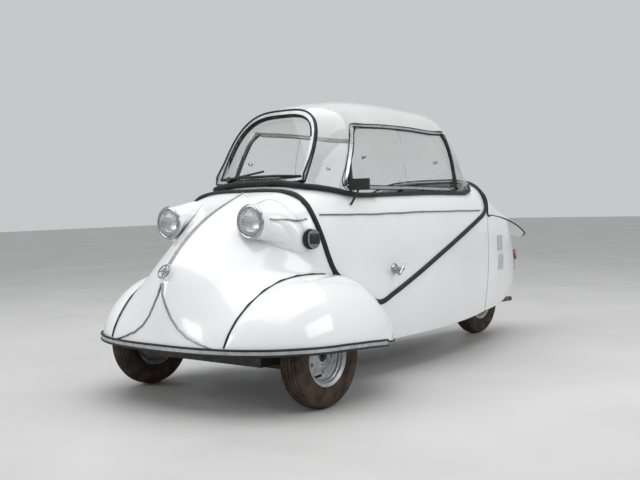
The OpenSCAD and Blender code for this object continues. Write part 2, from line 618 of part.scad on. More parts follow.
module tyre_right() color("#2a2724") wheel_place(-1) tyre();
module tyre_rear() color("#2a2724") car()
  translate([0, rear_y, hub_z]) tyre();
module rim_left() color("#b8bcc0") wheel_place(1) rim();
module rim_right() color("#b8bcc0") wheel_place(-1) rim();
module rim_rear() color("#b8bcc0") car() translate([0, rear_y, hub_z]) rim();

// ---- engine, chain case and exhaust
module engine() color("#6a6d70") car() {
  translate([-120, 1498.6, 205]) cube([240, engine_length, 240]);
  translate([-30, 1500, 224])
    cube([60, 1808 - 17.8 - 1500, 32]);
}
module rear_arm() color("#4a4d50") car() {
  translate([-88, 0, 0]) rotate([90, 0, 90]) linear_extrude(24) hull() {
    translate([1808, 240]) circle(r = 30, $fn = 32);
    translate([rear_y, hub_z]) circle(r = 38, $fn = 32);
  }
  bar([-70, rear_y, hub_z], [56, rear_y, hub_z], 10);
  bar([-60, 1808, 240], [60, 1808, 240], 17.5);
}
module exhaust() color("#7a6a5c") car() {
  bar([170, 1560, 212], [170, 1830, 212], 36);
  bar([170, 1829, 205], [168, 2140, 196], 13);
  bar([170, 1700, 222], [120.6, 1700, 222], 13);
}

// ---- tail
tail_axis = [0, 1654 * ky, 846 * kz];
module tail_cover() panel_white() sheet(tail_grid, panel, flip = true);
module tail_deck() panel_white() {
  sheet(deck_grid, panel + 1.5, flip = true);
  for (s = [-1, 1]) translate([s * 112, tail_axis[1], tail_axis[2]])
    rotate([0, 90, 0]) cylinder(h = 18, r = 8.6, center = true, $fn = 24);
}
module vent_grilles() color("#d6d8da") car() for (s = [-1, 1])
  for (z = [433, 536]) on_tail(z, 0.15, s)
    translate([0, -38, -40]) cube([3, 76, 80]);

// ---- canopy: skin, dome, screen, windows and trim
module canopy_shell() panel_white()
  sheet(canopy_grid, panel, ring = true, flip = true);
module dome() color([0.8, 0.85, 0.85, 0.4]) car()
  sheet(dome_grid, dome_wall, open = window_cells, flip = true);
arch_rise = norm([(392 - 222) * ky, (1181 - 872) * kz]);
arch_tilt = acos((392 - 222) * ky / arch_rise);
function arch(out) = [for (a = [90:-9:-90]) let (g = a < 0 ? -1 : 1)
  [g * (243 * kx + out) * pow(sin(abs(a)), 2 / 3.3),
   (arch_rise + out) * pow(cos(a), 2 / 3.3)]];
module screen_plane() car() translate([0, 222 * ky, 872 * kz])
  rotate([arch_tilt, 0, 0]) children();
module windscreen() screen_plane()
  translate([0, 12, 5]) linear_extrude(4.5)
    scale([1, (arch_rise - 26) / arch_rise]) polygon(arch(-14.5));
module windscreen_frame() color("#c4c7ca") screen_plane()
  translate([0, 0, 0.8]) linear_extrude(13) difference() {
    translate([0, -8]) polygon(arch(6));
    translate([0, 11.7]) scale([1, (arch_rise - 25.4) / arch_rise])
      polygon(arch(-14.2));
  }
function lift(v, a) = let (e = 0.05,
  d = bubble(min(v + e, 9), a) - bubble(max(v - e, 0), a),
  c = bubble(v, a + 1) - bubble(v, a - 1)) unit(cross(c, d));
function frame_loop(g) =
  let (v0 = window_start / dome_steps, v1 = window_stop / dome_steps)
  concat([for (k = [0:8]) [mix(v0, v1, k / 8), 54.5 * g]],
    [for (a = [62, 69, 76, 83]) [v1 + 0.05, a * g]],
    [for (k = [8:-1:0]) [mix(v0, v1, k / 8), 89.1 * g]],
    [for (a = [83, 76, 69, 62]) [v0 - 0.05, a * g]]);
module window_frame_strip(g) {
  L = frame_loop(g);
  strip([for (l = L) scaled(bubble(l[0], l[1]))],
    [for (l = L) lift(l[0], l[1])], window_frame, 0.8, 8, ring = true);
}
module window_frames() color("#b9bcc0") car()
  for (g = [1, -1]) window_frame_strip(g);
module window_panes() car() {
  v0 = window_start / dome_steps;
  v1 = window_stop / dome_steps;
  for (g = [1, -1]) {
    sheet([for (k = [0:8]) let (v = mix(v0 + 0.06, v0 + 2, k / 8))
      [for (a = [56:4.6:89]) scaled(bubble(v, a * g))]], 3, flip = g > 0);
    sheet([for (k = [0:8]) let (v = mix(v0 + 1.9, v1 - 0.04, k / 8))
      [for (a = [56:4.6:89]) scaled(bubble(v, a * g))
        - lift(v, a * g) * 3.7]], 3, flip = g > 0);
  }
}
module window_glass() color([0.8, 0.86, 0.86, 0.35]) {
  windscreen();
  window_panes();
}
module canopy_seal() color("#1a1a1b") car() {
  n = len(canopy_grid);
  strip([for (i = [0:n - 1]) let (g = canopy_grid[i])
      g[0] + unit(g[1] - g[0]) * 4],
    [for (i = [0:n - 1]) -face_normal(canopy_grid, i, 0, true)],
    seal_width, 1.4, 9, ring = true);
}
module door_handle() car() {
  x = half(640, 482) * kx;
  translate([x + 0.5, 640 * ky, 482 * kz]) rotate([0, 90, 0])
    cylinder(h = 9, r = 17, $fn = 48);
  translate([x + 9, 640 * ky, 482 * kz]) rotate([0, 90, 0])
    cylinder(h = 26, r = 7, $fn = 32);
  bar([x + 36, 640 * ky - 52, 482 * kz + 6],
    [x + 36, 640 * ky + 14, 482 * kz - 2], 8);
}
module mirror_head() {
  translate([392, 402, 850]) rotate([0, 0, 12])
    translate([-44, -7, -24]) cube([88, 14, 48]);
}
module rear_mirror() color("#1b1c1d") car() scale([kx, ky, kz]) {
  mirror_head();
  bar([half(378, 766) + 3, 378, 766], [380, 386, 800], 5);
  translate([380, 386, 800]) sphere(r = 6.2, $fn = 32);
  bar([380, 386, 800], [391, 400, 836], 4.4);
}
module wiper() color("#1b1c1d") screen_plane() {
  translate([-170, 4, 14.4]) cylinder(h = 16, r = 13, $fn = 32);
  translate([-170, 4, 26]) rotate([0, 0, -81])
    translate([-4, 0, 0]) cube([8, 200, 5]);
}
hinge_x = -(half(700, 735) + 8.6) * kx;
hinge_ys = [460, 940];
module canopy_hinges() color("#c9ccd0") car() for (y = hinge_ys)
  translate([hinge_x, y * ky, 734 * kz]) {
    rotate([90, 0, 0]) cylinder(h = 60, r = 6, center = true, $fn = 32);
    translate([-2, -28, -22 * kz])
      cube([1.5 - hinge_x - half(y, 712) * kx, 56, 20 * kz]);
  }
// the canopy's half of each hinge: two barrels and a leaf
module hinge_leaves() car() for (y = hinge_ys, s = [-1, 1])
  translate([hinge_x, (y + s * 41) * ky, 734 * kz]) {
    rotate([90, 0, 0]) cylinder(h = 20, r = 6, center = true, $fn = 32);
    translate([-2, -9, 2 * kz])
      cube([1.1 - hinge_x - half(y, 737.5) * kx, 18, 24 * kz]);
  }
module canopy_fittings() color("#c9ccd0") {
  door_handle();
  hinge_leaves();
}

// ---- inside
module cushion(w, l, h, r = 30) hull() for (x = [r, w - r], y = [r, l - r])
  translate([x, y, 0]) cylinder(h = h, r = r, $fn = 32);
module seat_front() color("#30343a") car() {
  translate([-front_seat_width / 2, 690, 285])
    cushion(front_seat_width, 400, 90);
  translate([-front_seat_width / 2 + 20, 1078, 285]) rotate([-14, 0, 0])
    translate([0, 0, 0]) cube([front_seat_width - 40, 62, 440]);
  for (x = [-150, 150], y = [730, 1050])
    translate([x, y, 168.6 * kz]) cylinder(h = 118, r = 12, $fn = 24);
}
module seat_rear() color("#30343a") car() {
  translate([-rear_seat_width / 2, 1210, 285])
    cushion(rear_seat_width, 215, 90);
  translate([-rear_seat_width / 2 + 20, 1422, 285])
    cube([rear_seat_width - 40, 58, 430]);
  for (x = [-150, 150], y = [1250, 1400])
    translate([x, y, 168.6 * kz]) cylinder(h = 118, r = 12, $fn = 24);
}
module dashboard() color("#d9dadb") car() scale([kx, ky, kz]) {
  translate([-262, 268, 690]) cube([524, 16, 92]);
  translate([-half(276, 712) + 5.2, 270, 690])
    cube([half(276, 712) - 262 - 3.5, 12, 20]);
}
module pedals() color("#1b1c1d") car() for (x = [-110, 110]) {
  translate([x - 25, -30, 168.6 * kz]) cube([50, 60, 10]);
  bar([x, 0, 176], [x, -49.4, 284], 6);
  translate([x - 25, -56, 262]) rotate([20, 0, 0]) cube([50, 8, 60]);
}

floor_pan();
side_panels();
inner_panels();
nose();
fenders();
bumper();
headlamp_shells();
headlamp_rims();
headlamp_lenses();
side_lamps();
front_axle();
seat_front();
seat_rear();
dashboard();
steering_column();
pedals();
engine();
exhaust();
rear_arm();
canopy_hinges();
canopy_shell();
dome();
window_glass();
windscreen_frame();
window_frames();
canopy_seal();
canopy_fittings();
rear_mirror();  // mirror
wiper();
tail_cover();
tail_deck();
vent_grilles();
rear_lamps();
number_plate();
steering_bar();
knuckle_left();
knuckle_right();
track_rod_left();
track_rod_right();
tyre_left();
rim_left();
tyre_right();
rim_right();
tyre_rear();
rim_rear();
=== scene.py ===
"""Looks for the bubble car: paint, clear dome, trim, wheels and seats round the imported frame."""

import math

import bmesh
import bpy
from mathutils import Matrix, Vector
from mathutils.bvhtree import BVHTree


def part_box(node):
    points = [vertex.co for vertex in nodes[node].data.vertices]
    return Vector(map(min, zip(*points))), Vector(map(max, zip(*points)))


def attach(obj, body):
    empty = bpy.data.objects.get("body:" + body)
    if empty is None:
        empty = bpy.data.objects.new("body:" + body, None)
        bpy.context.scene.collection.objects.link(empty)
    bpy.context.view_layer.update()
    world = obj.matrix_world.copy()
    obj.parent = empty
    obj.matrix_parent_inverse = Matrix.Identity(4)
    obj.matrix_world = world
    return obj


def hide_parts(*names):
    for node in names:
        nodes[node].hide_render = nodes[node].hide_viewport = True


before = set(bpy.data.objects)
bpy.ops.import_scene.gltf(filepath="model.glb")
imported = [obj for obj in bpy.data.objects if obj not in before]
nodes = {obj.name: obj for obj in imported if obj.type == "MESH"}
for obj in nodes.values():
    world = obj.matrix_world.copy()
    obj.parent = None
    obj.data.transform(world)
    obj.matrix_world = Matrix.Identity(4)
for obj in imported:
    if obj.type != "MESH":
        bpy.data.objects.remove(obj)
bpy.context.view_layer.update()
AXLE_Y = -1.022
REAR_Y = 1.008
WHEEL_RADIUS = 0.197
WHEEL_X = 0.482
LAMP_X = 0.232
LAMP_Y = -1.114
LAMP_Z = 0.710
DIAL_Z = 0.742
FLOOR_TOP = 0.170
SIDES = ((1, "left"), (-1, "right"))


# ---- colours, nodes and materials

def tone(code, alpha=1.0):
    """sRGB hex to the linear colour that a shader takes."""
    parts = [int(code[i:i + 2], 16) / 255 for i in (1, 3, 5)]
    linear = [c / 12.92 if c <= 0.04045 else ((c + 0.055) / 1.055) ** 2.4 for c in parts]
    return (*linear, alpha)


def add(mat, kind, inputs=None, **settings):
    """A node with its settings and its inputs, each a value or another node's socket."""
    node = mat.node_tree.nodes.new(kind)
    for key, value in settings.items():
        setattr(node, key, value)
    for key, value in (inputs or {}).items():
        if isinstance(value, bpy.types.NodeSocket):
            mat.node_tree.links.new(value, node.inputs[key])
        else:
            node.inputs[key].default_value = value
    return node


def start(name, **values):
    """A new material with its shader's own values set, its shader and its Object coordinates."""
    mat = bpy.data.materials.new(name)
    mat.use_nodes = True
    shader = mat.node_tree.nodes["Principled BSDF"]
    for key, value in values.items():
        shader.inputs[key.replace("_", " ")].default_value = value
    place = add(mat, "ShaderNodeTexCoord").outputs["Object"]
    return mat, shader, place


def blotch(mat, place, size_mm, low, high, detail=4.0):
    """Cloudy noise of a real size, from one colour to another."""
    noise = add(mat, "ShaderNodeTexNoise", {"Vector": place, "Scale": 1000 / size_mm, "Detail": detail})
    ramp = add(mat, "ShaderNodeValToRGB", {"Fac": noise.outputs["Fac"]})
    ramp.color_ramp.elements[0].position = 0.3
    ramp.color_ramp.elements[1].position = 0.7
    ramp.color_ramp.elements[0].color = low
    ramp.color_ramp.elements[1].color = high
    return ramp.outputs["Color"]


def relief(mat, place, size_mm, depth_mm, detail=2.0):
    """A bump from noise of a real size and depth."""
    noise = add(mat, "ShaderNodeTexNoise", {"Vector": place, "Scale": 1000 / size_mm, "Detail": detail})
    bump = add(mat, "ShaderNodeBump", {"Height": noise.outputs["Fac"], "Strength": 1.0,
                                       "Distance": depth_mm / 1000})
    return bump.outputs["Normal"]


def grey(value):
    return (value, value, value, 1.0)


def link(mat, socket, target):
    mat.node_tree.links.new(socket, target)


# two-pack enamel, sprayed and flatted: a deep gloss with a trace of orange peel
enamel, shader, place = start("white_enamel", Roughness=0.16, Coat_Weight=0.7, Coat_Roughness=0.04,
                              Coat_IOR=1.5, IOR=1.5)
link(enamel, blotch(enamel, place, 420, tone("#e4e5e6"), tone("#ecedee")), shader.inputs["Base Color"])
link(enamel, blotch(enamel, place, 60, grey(0.13), grey(0.22)), shader.inputs["Roughness"])
link(enamel, relief(enamel, place, 9, 0.012), shader.inputs["Coat Normal"])

# brushed-on chassis black: satin, with a film of dust
chassis, shader, place = start("chassis_black", Roughness=0.5)
link(chassis, blotch(chassis, place, 90, tone("#191a1b"), tone("#38352f")), shader.inputs["Base Color"])
link(chassis, blotch(chassis, place, 25, grey(0.4), grey(0.7)), shader.inputs["Roughness"])
link(chassis, relief(chassis, place, 4, 0.12), shader.inputs["Normal"])

# chrome plate on brass: mirror bright, with faint haze where it was wiped
chrome, shader, place = start("chrome_plate", Metallic=1.0, Roughness=0.08)
link(chrome, blotch(chrome, place, 30, tone("#9fa2a5"), tone("#bfc2c5")), shader.inputs["Base Color"])
link(chrome, blotch(chrome, place, 12, grey(0.05), grey(0.16)), shader.inputs["Roughness"])

# drawn brass strip with worn nickel plate: bright grey, darker than the chrome
worn_nickel, shader, place = start("worn_nickel_plate", Metallic=1.0, Roughness=0.24)
link(worn_nickel, blotch(worn_nickel, place, 30, tone("#7e8082"), tone("#9b9da0")),
     shader.inputs["Base Color"])
link(worn_nickel, blotch(worn_nickel, place, 9, grey(0.16), grey(0.34)), shader.inputs["Roughness"])

# anodised aluminium extrusion: soft bright satin
alloy, shader, place = start("anodised_aluminium", Metallic=1.0, Roughness=0.28)
link(alloy, blotch(alloy, place, 40, tone("#b6b8ba"), tone("#cdcfd1")), shader.inputs["Base Color"])
link(alloy, blotch(alloy, place, 7, grey(0.2), grey(0.36)), shader.inputs["Roughness"])
link(alloy, relief(alloy, place, 30, 0.01), shader.inputs["Normal"])

# blown acrylic: clear with a grey-green tint, turned milky towards the crown as a painted reflection of the
# light on the dome's top
acrylic, shader, place = start("blown_acrylic", IOR=1.06, Roughness=0.03, Transmission_Weight=1.0,
                               Coat_Weight=1.0, Coat_Roughness=0.03, Coat_IOR=1.35)
split = add(acrylic, "ShaderNodeSeparateXYZ", {"Vector": place})
# painted reflection: less transmission higher up, so the crown reads whiter
painted_crown_reflection = add(acrylic, "ShaderNodeMapRange", {"Value": split.outputs["Z"], "From Min": 0.95, "From Max": 1.22,
                                           "To Min": 1.0, "To Max": 0.74})
link(acrylic, painted_crown_reflection.outputs["Result"], shader.inputs["Transmission Weight"])
link(acrylic, blotch(acrylic, place, 300, tone("#f3f5f4"), tone("#f8faf9")), shader.inputs["Base Color"])

# window glass: clear sheet, nearly colourless
glass, shader, place = start("window_sheet", IOR=1.05, Roughness=0.0, Transmission_Weight=1.0,
                             Coat_Weight=0.6, Coat_Roughness=0.02, Coat_IOR=1.35)
link(glass, blotch(glass, place, 500, tone("#fbfcfc"), tone("#fefefe")), shader.inputs["Base Color"])
link(glass, blotch(glass, place, 80, grey(0.0), grey(0.03)), shader.inputs["Roughness"])

# clear glass with a bluish cast, for the bulbs
lamp_glass, shader, place = start("pressed_lamp_glass", IOR=1.3, Roughness=0.02, Transmission_Weight=0.92,
                                  Coat_Weight=0.8, Coat_Roughness=0.02)
link(lamp_glass, blotch(lamp_glass, place, 60, tone("#eef3f5"), tone("#f8fbfc")), shader.inputs["Base Color"])
link(lamp_glass, blotch(lamp_glass, place, 9, grey(0.01), grey(0.06)), shader.inputs["Roughness"])

# black EPDM rubber: matt, a little grey where it has bloomed
rubber, shader, place = start("black_rubber", Roughness=0.55, Specular_IOR_Level=0.4)
link(rubber, blotch(rubber, place, 70, tone("#0e0e0f"), tone("#1c1c1d")), shader.inputs["Base Color"])
link(rubber, blotch(rubber, place, 14, grey(0.42), grey(0.66)), shader.inputs["Roughness"])
link(rubber, relief(rubber, place, 2.5, 0.05), shader.inputs["Normal"])

# tyre rubber: dry, browned by dust on the walls
tyre_rubber, shader, place = start("dusty_tyre_rubber", Roughness=0.88, Specular_IOR_Level=0.25)
link(tyre_rubber, blotch(tyre_rubber, place, 45, tone("#26201a"), tone("#54453a"), 8),
     shader.inputs["Base Color"])
link(tyre_rubber, blotch(tyre_rubber, place, 12, grey(0.78), grey(0.97)), shader.inputs["Roughness"])
link(tyre_rubber, relief(tyre_rubber, place, 3, 0.3), shader.inputs["Normal"])

# silver lacquer on pressed steel: fine metallic sparkle, dulled by brake dust
silver, shader, place = start("silver_lacquer", Metallic=0.65, Roughness=0.42)
link(silver, blotch(silver, place, 35, tone("#8f9091"), tone("#bcbec0")), shader.inputs["Base Color"])
link(silver, blotch(silver, place, 8, grey(0.34), grey(0.58)), shader.inputs["Roughness"])
link(silver, relief(silver, place, 2, 0.03), shader.inputs["Normal"])

# bare cast aluminium: sand-cast skin with oil in its pores
casting, shader, place = start("cast_aluminium", Metallic=0.8, Roughness=0.6)
link(casting, blotch(casting, place, 30, tone("#55534f"), tone("#8d8c88"), 7), shader.inputs["Base Color"])
link(casting, blotch(casting, place, 8, grey(0.45), grey(0.75)), shader.inputs["Roughness"])
link(casting, relief(casting, place, 3, 0.35), shader.inputs["Normal"])

# heat-stained mild steel: brown and blue-grey in patches
silencer_steel, shader, place = start("stained_mild_steel", Metallic=0.6, Roughness=0.6)
link(silencer_steel, blotch(silencer_steel, place, 50, tone("#4b3a2e"), tone("#77736f"), 8),
     shader.inputs["Base Color"])
link(silencer_steel, blotch(silencer_steel, place, 10, grey(0.45), grey(0.8)),
     shader.inputs["Roughness"])
link(silencer_steel, relief(silencer_steel, place, 5, 0.25), shader.inputs["Normal"])

# leathercloth: grained vinyl over padding, a warm grey
vinyl, shader, place = start("grained_leathercloth", Roughness=0.5, Sheen_Weight=0.15)
link(vinyl, blotch(vinyl, place, 120, tone("#a9a49b"), tone("#bab5ab")), shader.inputs["Base Color"])
link(vinyl, blotch(vinyl, place, 20, grey(0.42), grey(0.6)), shader.inputs["Roughness"])
grain = add(vinyl, "ShaderNodeTexVoronoi", {"Vector": place, "Scale": 1000 / 4})
bump = add(vinyl, "ShaderNodeBump", {"Height": grain.outputs["Distance"], "Strength": 0.8,
                                     "Distance": 0.0004})
link(vinyl, bump.outputs["Normal"], shader.inputs["Normal"])

# moulded black plastic: fine spark-eroded texture
black_plastic, shader, place = start("moulded_black_plastic", Roughness=0.42)
link(black_plastic, blotch(black_plastic, place, 40, tone("#121213"), tone("#1d1d1e")),
     shader.inputs["Base Color"])
link(black_plastic, blotch(black_plastic, place, 6, grey(0.34), grey(0.5)), shader.inputs["Roughness"])
link(black_plastic, relief(black_plastic, place, 1.5, 0.04), shader.inputs["Normal"])

# red acrylic lens: deep red, wet gloss, moulded ripple inside
red_lens, shader, place = start("red_acrylic_lens", Roughness=0.08, Coat_Weight=0.6, IOR=1.49,
                                Transmission_Weight=0.25)
link(red_lens, blotch(red_lens, place, 25, tone("#7d0c0c"), tone("#a81414")), shader.inputs["Base Color"])
link(red_lens, relief(red_lens, place, 5, 0.15), shader.inputs["Normal"])

# grey wrinkle paint on the instrument panel and the blank plate
wrinkle, shader, place = start("wrinkle_paint", Roughness=0.5)
link(wrinkle, blotch(wrinkle, place, 60, tone("#c4c4c2"), tone("#d0d0ce")), shader.inputs["Base Color"])
link(wrinkle, relief(wrinkle, place, 1.8, 0.15), shader.inputs["Normal"])

# silvered lamp bowl: bright vacuum-plated mirror
bowl, shader, place = start("silvered_bowl", Metallic=1.0, Roughness=0.12)
link(bowl, blotch(bowl, place, 15, tone("#c9ccce"), tone("#eceef0")), shader.inputs["Base Color"])

# sealed studio concrete, pale: gives the car a soft shadow to stand on
pale_floor, shader, place = start("pale_floor", Roughness=0.55)
link(pale_floor, blotch(pale_floor, place, 900, tone("#bdbdbc"), tone("#c8c8c7"), 5),
     shader.inputs["Base Color"])
link(pale_floor, blotch(pale_floor, place, 160, grey(0.45), grey(0.6)), shader.inputs["Roughness"])


# ---- mesh helpers

def finished(name, bm, mat, body, smooth=40, keep_normals=False):
    """A bmesh becomes a piece that rides on a body, smooth up to an angle in degrees."""
    if not keep_normals:
        bmesh.ops.recalc_face_normals(bm, faces=bm.faces)
    for edge in bm.edges:
        edge.smooth = edge.is_manifold and edge.calc_face_angle(0) < math.radians(smooth)
    for face in bm.faces:
        face.smooth = True
    mesh = bpy.data.meshes.new(name)
    bm.to_mesh(mesh)
    bm.free()
    mesh.materials.append(mat)
    piece = bpy.data.objects.new(name, mesh)
    bpy.context.scene.collection.objects.link(piece)
    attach(piece, body)
    return piece


def merged(node):
    """A CAD node's mesh, merged and with its triangle pairs joined into quads."""
    bm = bmesh.new()
    bm.from_mesh(nodes[node].data)
    bmesh.ops.remove_doubles(bm, verts=bm.verts, dist=0.0002)
    bmesh.ops.join_triangles(bm, faces=bm.faces, angle_face_threshold=math.radians(50),
                             angle_shape_threshold=math.radians(70))
    return bm


def subdivided(piece, levels):
    subdivision = piece.modifiers.new("smooth", "SUBSURF")
    subdivision.levels = levels
    subdivision.render_levels = levels
    return piece


def skin_of(node, name, mat, body, levels=2, fold=50):
    """A smooth pressed panel from a CAD node: its rims stay crisp, its faces flow."""
    bm = merged(node)
    crease = bm.edges.layers.float.get("crease_edge") or bm.edges.layers.float.new("crease_edge")
    for edge in bm.edges:
        if edge.is_manifold and edge.calc_face_angle(0) > math.radians(fold):
            edge[crease] = 1.0
    piece = finished(name, bm, mat, body, fold, keep_normals=True)
    subdivided(piece, levels)
    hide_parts(node)
    return piece


def path_length(points):
    return sum((a - b).length for a, b in zip(points, points[1:]))


def rim_loops(node, fold=50, shortest=0.006):
    """The crisp rims of a CAD node as lists of points, longest first."""
    bm = merged(node)
    ways = {}
    for edge in bm.edges:
        crisp = edge.is_manifold and edge.calc_face_angle(0) > math.radians(fold)
        if crisp and edge.calc_length() > shortest:
            a, b = edge.verts
            ways.setdefault(a.index, set()).add(b.index)
            ways.setdefault(b.index, set()).add(a.index)
    bm.verts.ensure_lookup_table()
    loops = []
    while ways:
        first = min(ways)
        path = [first]
        here = first
        while ways.get(here):
            there = min(ways[here])
            ways[here].discard(there)
            ways[there].discard(here)
            here = there
            path.append(here)
        for key in [k for k in ways if not ways[k]]:
            del ways[key]
        loops.append([bm.verts[i].co.copy() for i in path])
    bm.free()
    return sorted(loops, key=path_length, reverse=True)


def surface(*names):
    """A tree for finding the nearest point on some CAD nodes."""
    bm = bmesh.new()
    for name in names:
        bm.from_mesh(nodes[name].data)
    tree = BVHTree.FromBMesh(bm)
    bm.free()
    return tree


def snapped(tree, points, lift=0.0, steps=3):
    """Points spread along a path and laid on a surface, lifted off it."""
    path = []
    for a, b in zip(points, points[1:]):
        for k in range(steps):
            path.append(Vector(a).lerp(Vector(b), k / steps))
    path.append(Vector(points[-1]))
    laid = []
    for p in path:
        spot, normal, _, _ = tree.find_nearest(p)
        laid.append(spot + normal * lift)
    return laid


def tube(name, points, radius, mat, body, closed=False):
    """A round bead along a path, as a mesh in place."""
    curve = bpy.data.curves.new(name, "CURVE")
    curve.dimensions = "3D"
    curve.bevel_depth = radius
    curve.bevel_resolution = 3
    curve.use_fill_caps = True
    spline = curve.splines.new("BEZIER")
    points = points[:-1] if closed and (points[0] - points[-1]).length < 1e-4 else points
    spline.bezier_points.add(len(points) - 1)
    for knot, p in zip(spline.bezier_points, points):
        knot.co = p
        knot.handle_left_type = "AUTO"
        knot.handle_right_type = "AUTO"
    spline.use_cyclic_u = closed
    spline.resolution_u = 3
    holder = bpy.data.objects.new(name + "_path", curve)
    bpy.context.scene.collection.objects.link(holder)
    bpy.context.view_layer.update()
    mesh = bpy.data.meshes.new_from_object(holder.evaluated_get(bpy.context.evaluated_depsgraph_get()))
    bpy.data.objects.remove(holder)
    bm = bmesh.new()
    bm.from_mesh(mesh)
    bpy.data.meshes.remove(mesh)
    bmesh.ops.remove_doubles(bm, verts=bm.verts, dist=0.00001)
    return finished(name, bm, mat, body, 60)


def turned(bm, outline, centre, axis=(1, 0, 0), steps=96, across=(0, 0, 1)):
    """A ring or disc: an outline of (along the axis, radius) spun right round the axis."""
    axis = Vector(axis).normalized()
    across = Vector(across)
    centre = Vector(centre)
    verts = [bm.verts.new(centre + axis * a + across * r) for a, r in outline]
    edges = [bm.edges.new(pair) for pair in zip(verts, verts[1:])]
    bmesh.ops.spin(bm, geom=verts + edges, cent=centre, axis=axis, angle=2 * math.pi,
                   steps=steps, use_merge=True, use_duplicate=False)
    bmesh.ops.remove_doubles(bm, verts=bm.verts, dist=0.00002)


def block(bm, low, high, turn=None, centre=None):
    """A box between two corners, optionally turned by a matrix about a centre."""
    low, high = Vector(low), Vector(high)
    made = bmesh.ops.create_cube(bm, size=1.0)["verts"]
    bmesh.ops.scale(bm, vec=high - low, verts=made)
    bmesh.ops.translate(bm, vec=(low + high) / 2, verts=made)
    if turn:
        bmesh.ops.rotate(bm, cent=centre or (low + high) / 2, matrix=turn, verts=made)


def peg(bm, centre, direction, radius, length, sides=16, tip=None):
    """A short round bar or cone that stands on a point along a direction."""
    direction = Vector(direction).normalized()
    lie = direction.to_track_quat("Z", "Y").to_matrix().to_4x4()
    place = Matrix.Translation(Vector(centre) + direction * length / 2) @ lie
    bmesh.ops.create_cone(bm, cap_ends=True, segments=sides, radius1=radius,
                          radius2=radius if tip is None else tip, depth=length, matrix=place)


def eased(bm, width, segments=2, angle=30):
    """Rounds every edge that is sharper than an angle."""
    sharp = [e for e in bm.edges if e.is_manifold and e.calc_face_angle(0) > math.radians(angle)]
    bmesh.ops.bevel(bm, geom=sharp, offset=width, segments=segments, affect="EDGES", profile=0.5,
                    material=-1, clamp_overlap=True)


# ---- painted panels
skin_of("nose", "nose_skin", enamel, "body")
skin_of("fenders", "fender_skins", enamel, "body")
skin_of("side_panels", "tub_sides", enamel, "body", 1)
skin_of("headlamp_shells", "lamp_pods", enamel, "body", 2, 40)
skin_of("canopy_shell", "canopy_skin", enamel, "canopy")
skin_of("tail_cover", "tail_skin", enamel, "tail")
skin_of("tail_deck", "tail_lid", enamel, "tail")
dome = skin_of("dome", "clear_dome", acrylic, "canopy", 2)
dome.visible_shadow = False
panes = skin_of("window_glass", "window_panes", glass, "canopy", 1)
panes.visible_shadow = False
skin_of("windscreen_frame", "screen_arch", alloy, "canopy", 0)
skin_of("window_frames", "side_frames", alloy, "canopy", 1)
skin_of("bumper", "rub_strip", chrome, "body", 1)
skin_of("canopy_seal", "dome_seal", rubber, "canopy", 1)

plain = {"floor_pan": chassis, "inner_panels": chassis, "front_axle": chassis, "steering_column": chassis,
         "knuckle_left": chassis, "knuckle_right": chassis, "track_rod_left": silver,
         "track_rod_right": silver, "rear_arm": casting, "engine": casting, "exhaust": silencer_steel,
         "canopy_hinges": chrome, "canopy_fittings": chrome, "side_lamps": chrome,
         "rear_lamps": red_lens, "number_plate": wrinkle, "dashboard": wrinkle,
         "pedals": black_plastic, "mirror": black_plastic, "wiper": black_plastic,
         "steering_bar": black_plastic}
for name, mat in plain.items():
    nodes[name].data.materials.clear()
    nodes[name].data.materials.append(mat)

# ---- seams and piping
seam = rim_loops("canopy_shell")[0]
tube("seam_gasket", seam, 0.0120, rubber, "canopy", True)
body_skin = surface("nose")


def mm(*points):
    return [Vector(p) / 1000 for p in points]


ridge = mm((0, -910, 860), (0, -970, 838), (0, -1060, 796), (0, -1160, 745), (0, -1230, 695),
           (0, -1291, 640), (0, -1350, 572))
tube("nose_ridge_bead", snapped(body_skin, ridge, 0.001), 0.0038, worn_nickel, "body")
for side, word in SIDES:
    sweep = mm((side * 6, -1385, 492), (side * 17, -1400, 447), (side * 37, -1405, 410),
               (side * 64, -1408, 366), (side * 103, -1410, 326), (side * 152, -1410, 298),
               (side * 204, -1408, 280), (side * 252, -1403, 268), (side * 296, -1395, 260))
    tube("nose_sweep_bead_" + word, snapped(body_skin, sweep, 0.001), 0.0038, worn_nickel, "body")
    valley = mm((side * 316, -1368, 262), (side * 320, -1344, 308), (side * 325, -1306, 356),
                (side * 335, -1248, 409), (side * 345, -1172, 455), (side * 353, -1087, 484),
                (side * 361, -1000, 496), (side * 370, -921, 497), (side * 379, -852, 493))
    tube("fender_piping_" + word, snapped(body_skin, valley, 0.001), 0.0045, rubber, "body")

# ---- wheels: ribbed tyres, stepped silver rims, nuts and a capped valve

